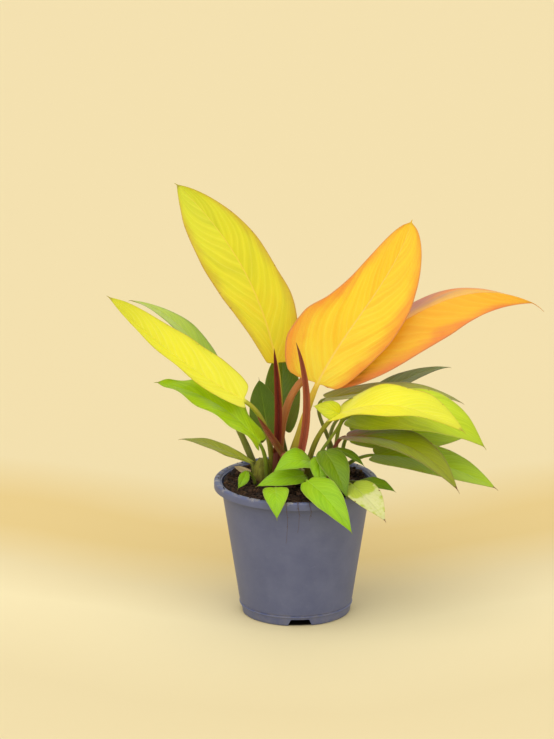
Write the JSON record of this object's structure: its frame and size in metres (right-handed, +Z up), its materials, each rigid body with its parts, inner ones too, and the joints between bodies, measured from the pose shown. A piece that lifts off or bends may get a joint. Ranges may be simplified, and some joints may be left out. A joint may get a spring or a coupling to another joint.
{
  "type": "potted philodendron",
  "caption": "Young philodendron with lime, yellow and orange leaves and papery red sheaths, growing in a small round plastic nursery pot filled with dark potting mix.",
  "frame": {"origin": "on the ground under the middle of the part's box; the pot's own axis stands 20 mm to the -X side and 7 mm to the +Y side of it", "axes": "+Z up along the pot's axis, -Y towards the front of the plant, where the small leaves hang over the rim, +X towards its right"},
  "size_m": [0.3077, 0.1398, 0.3066],
  "materials": {
    "pot": "satin",
    "mix": "matte",
    "stem": "satin",
    "leaf_yellow": "satin",
    "leaf_golden": "satin",
    "leaf_orange": "satin",
    "leaf_lime": "satin",
    "leaf_green": "satin",
    "leaf_dark": "satin",
    "leaf_olive": "satin",
    "leaf_red": "satin",
    "sheath_red": "satin",
    "sheath_dry": "matte",
    "root": "matte"
  },
  "bodies": {
    "root": {"pot": "pot", "stem_middle": "stem", "stem_left": "stem", "stem_right": "stem", "leaf_upper_left": "leaf_yellow", "leaf_upper_right": "leaf_golden", "leaf_right": "leaf_orange", "leaf_left": "leaf_yellow", "leaf_front_right": "leaf_yellow", "leaf_left_behind": "leaf_olive", "leaf_left_wavy": "leaf_green", "leaf_back_left": "leaf_dark", "leaf_back_middle": "leaf_dark", "leaf_far_left": "leaf_olive", "leaf_back_right_high": "leaf_dark", "leaf_back_right_low": "leaf_olive", "leaf_right_lime": "leaf_lime", "leaf_right_green": "leaf_green", "leaf_right_lower": "leaf_green", "leaf_right_red": "leaf_red", "leaf_small_lime": "leaf_lime", "leaf_small_middle": "leaf_green", "leaf_small_low": "leaf_green", "leaf_small_rim_left": "leaf_green", "leaf_small_rim_middle": "leaf_green", "leaf_small_upright": "leaf_green", "leaf_small_right": "leaf_green", "leaf_small_rim_right": "leaf_lime", "leaf_small_edge": "leaf_dark", "leaf_small_on_mix": "leaf_green", "leaf_small_dark": "leaf_dark", "sheath_tall_left": "sheath_red", "sheath_tall_right": "sheath_red", "sheath_short": "sheath_red", "sheath_dry": "sheath_dry", "root_fibre_left": "root", "root_fibre_middle": "root", "root_fibre_right": "root", "potting_mix": "mix"}
  },
  "joints": []
}
